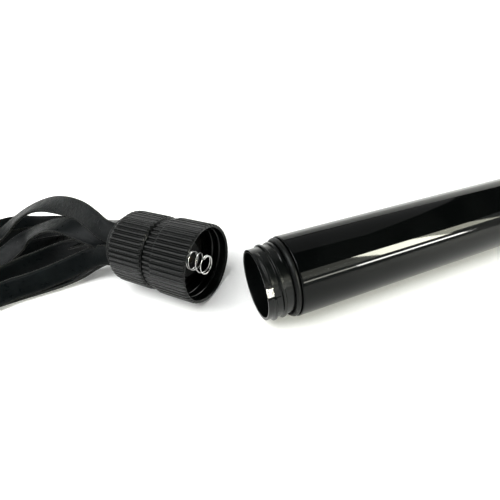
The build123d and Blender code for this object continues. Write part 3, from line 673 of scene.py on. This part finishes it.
def make_skirt():
    n = 46 * 16
    ang = np.arange(n) * 2 * math.pi / n
    drop = rib_drop(ang)
    env = [(0.0, 15.05), (0.04, 15.2), (0.12, 15.32), (0.22, 15.42), (0.36, 15.52), (0.52, 15.62), (0.7, 15.72), (0.9, 15.78), (1.2, 15.84), (1.6, 15.9)]
    env += [(p, 15.9) for p in np.linspace(2.2, 14.6, 26)]
    env += [(15.0, 15.86), (15.25, 15.78), (15.45, 15.68), (15.6, 15.56), (15.72, 15.42), (15.82, 15.25), (15.88, 15.1), (15.9, 15.0)]
    outer_p = [p for p, _ in env]
    outer_r = [np.minimum(e, 15.8 - drop) for _, e in env]
    # the ends of the grooves run out just before the rim
    band = [(15.92, 14.9), (16.1, 14.9), (16.6, 14.9), (17.4, 14.9), (18.2, 14.9), (19.0, 14.9), (19.5, 14.88), (19.7, 14.84), (19.9, 14.74), (20.05, 14.6), (20.15, 14.45), (20.2, 14.35)]
    outer_p += [p for p, _ in band]
    outer_r += [np.minimum(e, 14.85 - drop) for _, e in band]
    back = dense([(20.2, 14.0), (20.2, 12.8), (15.4, 12.8), (15.4, 7.6), (20.2, 7.6), (20.2, 6.0), (25.6, 6.0), (25.6, 1.5), (18.9, 1.5)], 0.8) + [(18.9, 0.0)]
    back_p = [p for p, _ in back]
    back_r = [np.full(n, r) for _, r in back]
    front = dense([(12.2, 0.8), (8.6, 0.8), (8.6, 7.0), (8.9, 7.3), (13.0, 7.3), (13.0, 14.3)], 0.5)
    bore_s = np.arange(12.9, 0.5, -0.12)
    front_p = [12.2] + [p for p, _ in front] + list(bore_s) + [0.48, 0.3, 0.15, 0.0]
    front_r = [np.zeros(n)] + [np.full(n, r) for _, r in front]
    turn0 = (ang - math.pi / 2) / (2 * math.pi)
    for p in bore_s:
        r = np.full(n, 14.3)
        for k in (-1, 0, 1, 2, 3):
            th = turn0 + k
            d = np.abs(p - (3.2 + 3.4 * th))
            fade = smoothstep(-0.02, 0.06, th) * (1 - smoothstep(1.96, 2.04, th))
            r = np.minimum(r, 14.3 - 0.45 * (1 - smoothstep(0.25, 0.8, d)) * fade)
        front_r.append(r)
    front_r += [np.full(n, r) for r in (14.34, 14.48, 14.62, 14.76)]
    # one skin from the axis in front, along the bore, over the rim and the ribs, to the axis behind
    P = np.array(front_p + outer_p + back_p)
    R = np.array(front_r + outer_r + back_r)
    return revolve("cap_front", cap_at, P, R, angles=ang, loop=False)


finish_piece(make_skirt(), "satin_black", "cap_skirt_body", "satin_black", "cap_skirt")


def make_rear():
    n = 46 * 16
    ang = np.arange(n) * 2 * math.pi / n
    drop = rib_drop(ang)
    env = [(21.0, 14.7), (21.03, 14.84), (21.1, 15.0), (21.22, 15.12), (21.4, 15.24), (21.6, 15.36), (21.9, 15.43), (22.3, 15.46)]
    env += [(p, 15.46) for p in np.linspace(22.9, 35.6, 28)]
    env += [(36.1, 15.4), (36.5, 15.3), (36.8, 15.16), (37.05, 15.0), (37.25, 14.82), (37.42, 14.62), (37.54, 14.42), (37.6, 14.25)]
    P = [p for p, _ in env]
    R = [np.minimum(e, 15.4 - drop) for _, e in env]
    rest = dense([(37.6, 14.0), (37.6, 10.6), (35.0, 10.6), (35.0, 13.0), (25.5, 13.0), (25.5, 6.05), (21.0, 6.05), (21.0, 14.3)], 0.7)
    P += [p for p, _ in rest]
    R += [np.full(n, r) for _, r in rest]
    return revolve("cap_back", cap_at, np.array(P), np.array(R), angles=ang, loop=True)


finish_piece(make_rear(), "satin_black", "cap_rear_body", "satin_black", "cap_rear")


def make_washer():
    prof = dense([(20.27, 6.32), (20.27, 14.75)], 1.2)[:-1]
    prof += [(20.56 - 0.29 * math.cos(q), 14.7 + 0.29 * math.sin(q)) for q in np.radians(np.linspace(0, 180, 13))]
    prof += dense([(20.85, 14.7), (20.85, 6.32)], 1.2)[1:]
    a = np.array(prof)
    return revolve("swivel_lip", cap_at, a[:, 0], a[:, 1], n=200)


finish_piece(make_washer(), "gloss_black", "cap_rear_body", "gloss_black", "swivel_washer")


def make_spring():
    """Steel coil with closed turns at both ends and a short tail at its foot."""
    turns = 4.35
    th = np.linspace(0, turns, 260)
    depth = np.interp(th, [0, 1.25, 1.7, 2.35, 2.9, 3.25, 4.35], [8.0, 7.25, 6.4, 4.0, 1.9, 1.35, 0.62])
    k = np.ones(15) / 15
    depth = np.convolve(np.pad(depth, 7, mode="edge"), k, mode="valid")
    rad = np.interp(th, [0, 1.2, 2.2, 3.2, 4.35], [3.62, 3.7, 3.72, 3.68, 3.6])
    a = math.radians(200) - th * 2 * math.pi
    sag = 0.55 * smoothstep(5.5, 0.0, depth)
    pts = cap_at(depth, rad, a) - np.stack([0 * sag, 0 * sag, sag * MM], 1)
    tail = [pts[0] + (pts[0] - pts[3]) * 0.6 + np.array([0, 0, -0.0005]), pts[0] + (pts[0] - pts[3]) * 0.3 + np.array([0, 0, -0.0002])]
    line = np.concatenate([tail, pts])
    line, _ = even(line, 420)
    tan = np.gradient(line, axis=0)
    tan /= np.linalg.norm(tan, axis=1)[:, None]
    ref = np.broadcast_to(C_D, tan.shape)
    u = np.cross(tan, ref)
    u /= np.linalg.norm(u, axis=1)[:, None]
    v = np.cross(tan, u)
    m = 12
    q = np.arange(m) * 2 * math.pi / m
    ring = line[:, None, :] + 0.00025 * (np.cos(q)[None, :, None] * u[:, None, :] + np.sin(q)[None, :, None] * v[:, None, :])
    V = ring.reshape(-1, 3)
    faces = []
    for i in range(len(line) - 1):
        for j in range(m):
            l = (j + 1) % m
            faces.append((i * m + j, i * m + l, (i + 1) * m + l, (i + 1) * m + j))
    c0, c1 = len(V), len(V) + 1
    V = np.concatenate([V, line[:1], line[-1:]])
    for j in range(m):
        l = (j + 1) % m
        faces.append((c0, l, j))
        faces.append((c1, (len(line) - 1) * m + j, (len(line) - 1) * m + l))
    return outward(mesh_object("spring_wire", V, faces))


finish_piece(make_spring(), "spring_steel", "cap_skirt_body", "spring_steel", "battery_spring")


def make_binding():
    """Waxed thread wound side by side round the strands' roots, each turn a twisted cord."""
    n, turns = 320, 4
    ang = np.arange(n) * 2 * math.pi / n
    P, R = [], []
    width = 3.36 / turns
    for t in range(turns):
        for q in np.radians(np.linspace(0, 180, 13))[:-1]:
            twist = 0.045 * np.sin(ang * 62 + q * 3.0 + t)
            P.append(np.full(n, 37.63 + width * t + width / 2 - width / 2 * math.cos(q)))
            R.append(11.95 + (0.68 + twist) * math.sin(q) ** 0.8)
    end = dense([(37.63 + 3.36, 11.95), (37.63 + 3.36, 10.56), (37.63, 10.56), (37.63, 11.9)], 0.6)
    P += [np.full(n, p) for p, _ in end]
    R += [np.full(n, r) for _, r in end]
    return revolve("binding_wound", cap_at, np.array(P), np.array(R), angles=ang, loop=True)


finish_piece(make_binding(), "binding_thread", "cap_rear_body", "binding_thread", "strap_binding")

# ------------------------------------------------------------------ stage and light
def make_stage():
    """A pale floor that turns up into a backdrop all round, far from the object. It glows with painted light: dim
    close to the object and on the near side, brighter further out, and dimmer up the backdrop.
    """
    rings = [0.0, 0.1, 0.2, 0.3, 0.42, 0.56, 0.72, 0.9, 1.1, 1.3, 1.5, 1.8, 2.1, 2.5]
    prof = [(r, 0.0) for r in rings]
    prof += [(2.5 + 0.5 * math.sin(a), 0.5 - 0.5 * math.cos(a)) for a in np.radians(np.linspace(10, 80, 8))]
    prof += [(3.0, 0.5), (3.0, 1.4)]
    n = 96
    verts, faces = [(0, 0, 0)], []
    for r, z in prof[1:]:
        for j in range(n):
            a = 2 * math.pi * j / n
            verts.append((r * math.cos(a), r * math.sin(a), z))
    for j in range(n):
        faces.append((0, 1 + j, 1 + (j + 1) % n))
    for i in range(len(prof) - 2):
        for j in range(n):
            l = (j + 1) % n
            faces.append((1 + i * n + j, 1 + (i + 1) * n + j, 1 + (i + 1) * n + l, 1 + i * n + l))
    ob = mesh_object("stage_floor", verts, faces)
    f = Mat("stage_paper", (0.86, 0.87, 0.865), 0.6)
    # painted light: the paper glows, dim close to the object and on the near side, full further out, and dimmer up the
    # backdrop
    far = f.n.new("ShaderNodeVectorMath")
    far.operation = "LENGTH"
    f.link(f.co, far.inputs[0])
    f.b.inputs["Emission Color"].default_value = (1.0, 1.0, 1.0, 1)
    sep = f.n.new("ShaderNodeSeparateXYZ")
    f.link(f.co, sep.inputs[0])
    front = f.span(sep.outputs["Y"], 0.18, 1.0, -0.55, 0.0)
    low = f.span(sep.outputs["Z"], 1.0, 0.30, 0.10, 0.40)
    painted_glow = f.math("MULTIPLY", f.span(far.outputs["Value"], 0.07, 1.0, 0.06, 0.62), front)
    f.link(f.math("MULTIPLY", painted_glow, low), f.b.inputs["Emission Strength"])
    f.colour(f.noise(900, 3), (0.3, (0.85, 0.86, 0.855)), (0.7, (0.88, 0.885, 0.88)))
    f.roughness(f.noise(300, 3), 0.55, 0.7)
    ob.data.materials.append(f.m)


make_stage()


def area(name, centre, target, size, radiance, colour=(1, 1, 1)):
    """A flat light of that radiance; centre and target in metres."""
    li = bpy.data.lights.new(name, "AREA")
    li.shape = "RECTANGLE"
    li.size, li.size_y = size
    li.energy = radiance * size[0] * size[1] * math.pi
    li.color = colour
    ob = bpy.data.objects.new(name, li)
    bpy.context.scene.collection.objects.link(ob)
    ob.location = centre
    ob.rotation_euler = (Vector(target) - Vector(centre)).to_track_quat("-Z", "Y").to_euler()
    return ob


# wide soft light above and behind, dim enough to read as a grey sheen on the handle
area("light_behind", (0.30, 0.98, 1.40), (0.0, 0.0, 0.0), (2.4, 1.62), 0.66)
# brighter lights in places that neither the handle nor the cap mirrors: overhead on the near left, and far right
area("light_top_left", (-0.75, -0.35, 1.60), (-0.05, 0.0, 0.0), (1.5, 1.3), 7.5)
area("light_right", (2.10, 0.0, 0.80), (0.0, 0.0, 0.0), (0.8, 0.7), 7.0)
area("light_left", (-1.75, 0.30, 1.25), (-0.05, 0.0, 0.0), (1.1, 1.2), 4.0)
# a low window on the near side, in four panes of different brightness
area("light_pane_a", (1.30, -1.48, 0.88), (1.30, 0.0, 0.88), (0.46, 0.62), 62.0, (1.0, 1.0, 0.86))
area("light_pane_b", (0.77, -1.48, 0.86), (0.77, 0.0, 0.86), (0.58, 0.66), 4.0, (1.0, 1.0, 0.88))
area("light_pane_c", (1.78, -1.48, 0.92), (1.78, 0.0, 0.92), (0.46, 0.50), 16.0, (1.0, 1.0, 0.84))
area("light_sill_a", (1.22, -1.50, 0.30), (1.22, 0.0, 0.30), (0.72, 0.12), 60.0, (1.0, 1.0, 0.96))
area("light_sill_b", (0.66, -1.50, 0.30), (0.66, 0.0, 0.30), (0.38, 0.10), 20.0, (1.0, 1.0, 0.90))

world = bpy.data.worlds.new("world")
bpy.context.scene.world = world
world.use_nodes = True
world.node_tree.nodes["Background"].inputs["Color"].default_value = (0.9, 1.0, 0.96, 1)
world.node_tree.nodes["Background"].inputs["Strength"].default_value = 0.03

bpy.context.scene.view_settings.view_transform = "Standard"
bpy.context.scene.view_settings.look = "None"
bpy.context.scene.view_settings.exposure = -0.3
bpy.context.scene.view_settings.gamma = 0.85
